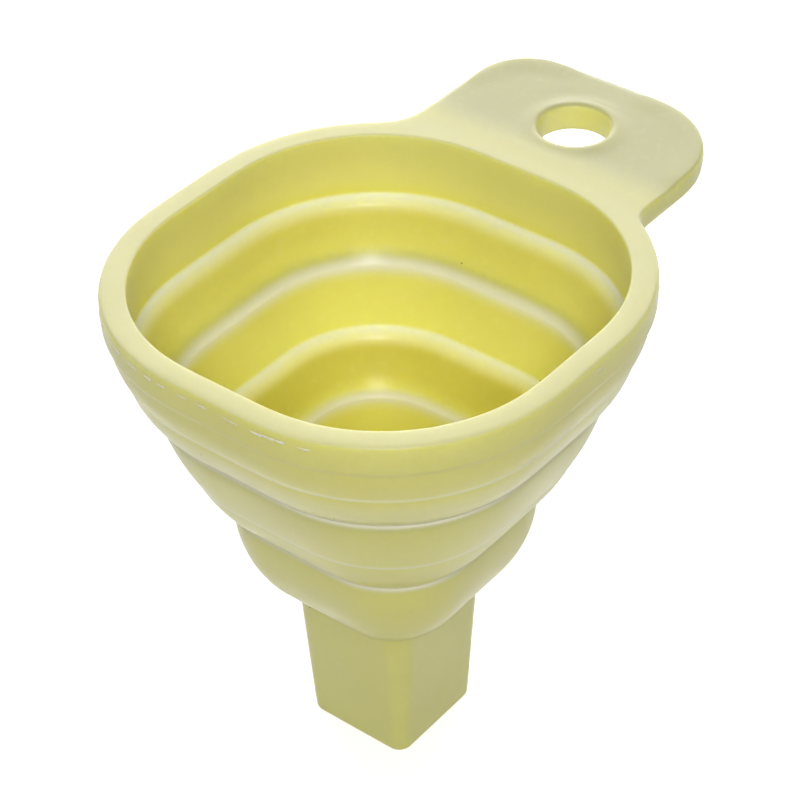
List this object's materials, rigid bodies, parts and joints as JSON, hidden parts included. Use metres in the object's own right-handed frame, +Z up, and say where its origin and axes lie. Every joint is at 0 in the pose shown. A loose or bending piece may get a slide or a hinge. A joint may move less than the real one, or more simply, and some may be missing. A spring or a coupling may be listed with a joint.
{
  "type": "collapsible funnel",
  "caption": "Small collapsible silicone funnel with a rounded-square mouth, stepped folding wall, square tapered spout and a flat hanging tab with a hole.",
  "frame": {"origin": "centre of the spout's outlet, where the funnel goes down into a jar or bottle", "axes": "+Z up the funnel's axis from outlet to mouth, +X along the hanging tab, XZ the mirror plane"},
  "size_m": [0.0963, 0.072, 0.0824],
  "materials": {
    "silicone": "satin, slightly translucent pale yellow silicone rubber"
  },
  "bodies": {
    "spout_body": {"spout": "silicone", "shoulder_fold": "silicone"},
    "lower_body": {"lower_ring": "silicone", "lower_fold": "silicone"},
    "middle_body": {"middle_ring": "silicone", "upper_fold": "silicone"},
    "rim_body": {"rim": "silicone", "hanging_tab": "silicone", "upper_ring": "silicone"}
  },
  "joints": [
    {"name": "shoulder_collapse", "type": "slide", "parent": "spout_body", "child": "lower_body", "axis": [0, 0, -1], "range_m": [0, 0.0098], "deforming": ["shoulder_fold"]},
    {"name": "lower_collapse", "type": "slide", "parent": "lower_body", "child": "middle_body", "axis": [0, 0, -1], "range_m": [0, 0.0186], "deforming": ["lower_fold"]},
    {"name": "upper_collapse", "type": "slide", "parent": "middle_body", "child": "rim_body", "axis": [0, 0, -1], "range_m": [0, 0.0162], "deforming": ["upper_fold"]}
  ]
}
